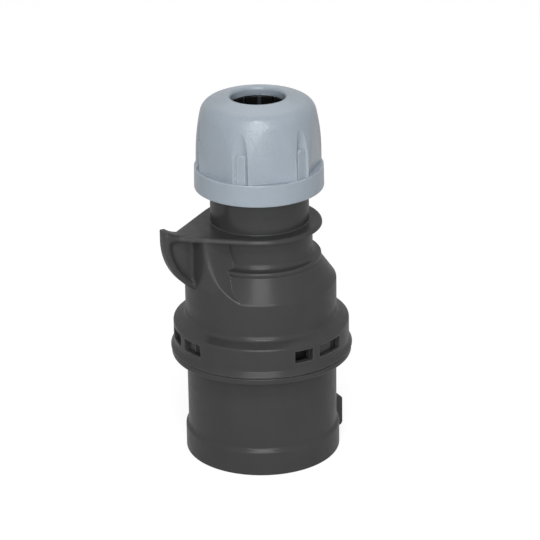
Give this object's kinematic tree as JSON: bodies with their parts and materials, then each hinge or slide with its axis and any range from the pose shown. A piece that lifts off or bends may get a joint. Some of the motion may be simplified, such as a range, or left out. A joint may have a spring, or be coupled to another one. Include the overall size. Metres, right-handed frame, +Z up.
{
  "type": "industrial power plug",
  "caption": "Round industrial power plug with a shrouded pin mouth, polarising key, twist-on rear housing with a hand hook, and a screw gland nut for the cable.",
  "frame": {"origin": "centre of the mouth plane, on the plug's axis", "axes": "+Z up the plug's axis from the mouth to the cable gland; -X to the hand hook; +X to the polarising key and the earth pin"},
  "size_m": [0.0717, 0.066, 0.1352],
  "materials": {
    "body_plastic": "fine moulded satin",
    "nut_plastic": "fine moulded satin",
    "carrier_plastic": "moulded satin",
    "cage_plastic": "moulded satin",
    "seal_rubber": "matt rubber",
    "pin_brass": "turned",
    "screw_steel": "zinc plated"
  },
  "bodies": {
    "front": {"front_shroud": "body_plastic", "contact_carrier": "carrier_plastic", "terminal_block": "carrier_plastic", "earth_pin": "pin_brass", "phase_pin_1": "pin_brass", "phase_pin_2": "pin_brass", "phase_pin_3": "pin_brass", "neutral_pin": "pin_brass", "terminal_screws": "screw_steel", "housing_seal": "seal_rubber"},
    "rear": {"rear_housing": "body_plastic", "cable_seal": "seal_rubber"},
    "cage": {"clamp_cage": "cage_plastic"},
    "nut": {"gland_nut": "nut_plastic"}
  },
  "joints": [
    {"name": "housing_twist", "type": "hinge", "parent": "front", "child": "rear", "pos_m": [0, 0, 0.0465], "axis": [0, 0, 1], "range_deg": [-7, 0]},
    {"name": "cage_lift", "type": "slide", "parent": "rear", "child": "cage", "axis": [0, 0, 1], "range_m": [0, 0.0075]},
    {"name": "nut_turn", "type": "hinge", "parent": "cage", "child": "nut", "pos_m": [0, 0, 0.115], "axis": [0, 0, 1], "range_deg": [0, 900]}
  ],
  "couplings": [
    {"joint": "cage_lift", "follows": "nut_turn", "m_per_rad": 0.00047746}
  ]
}
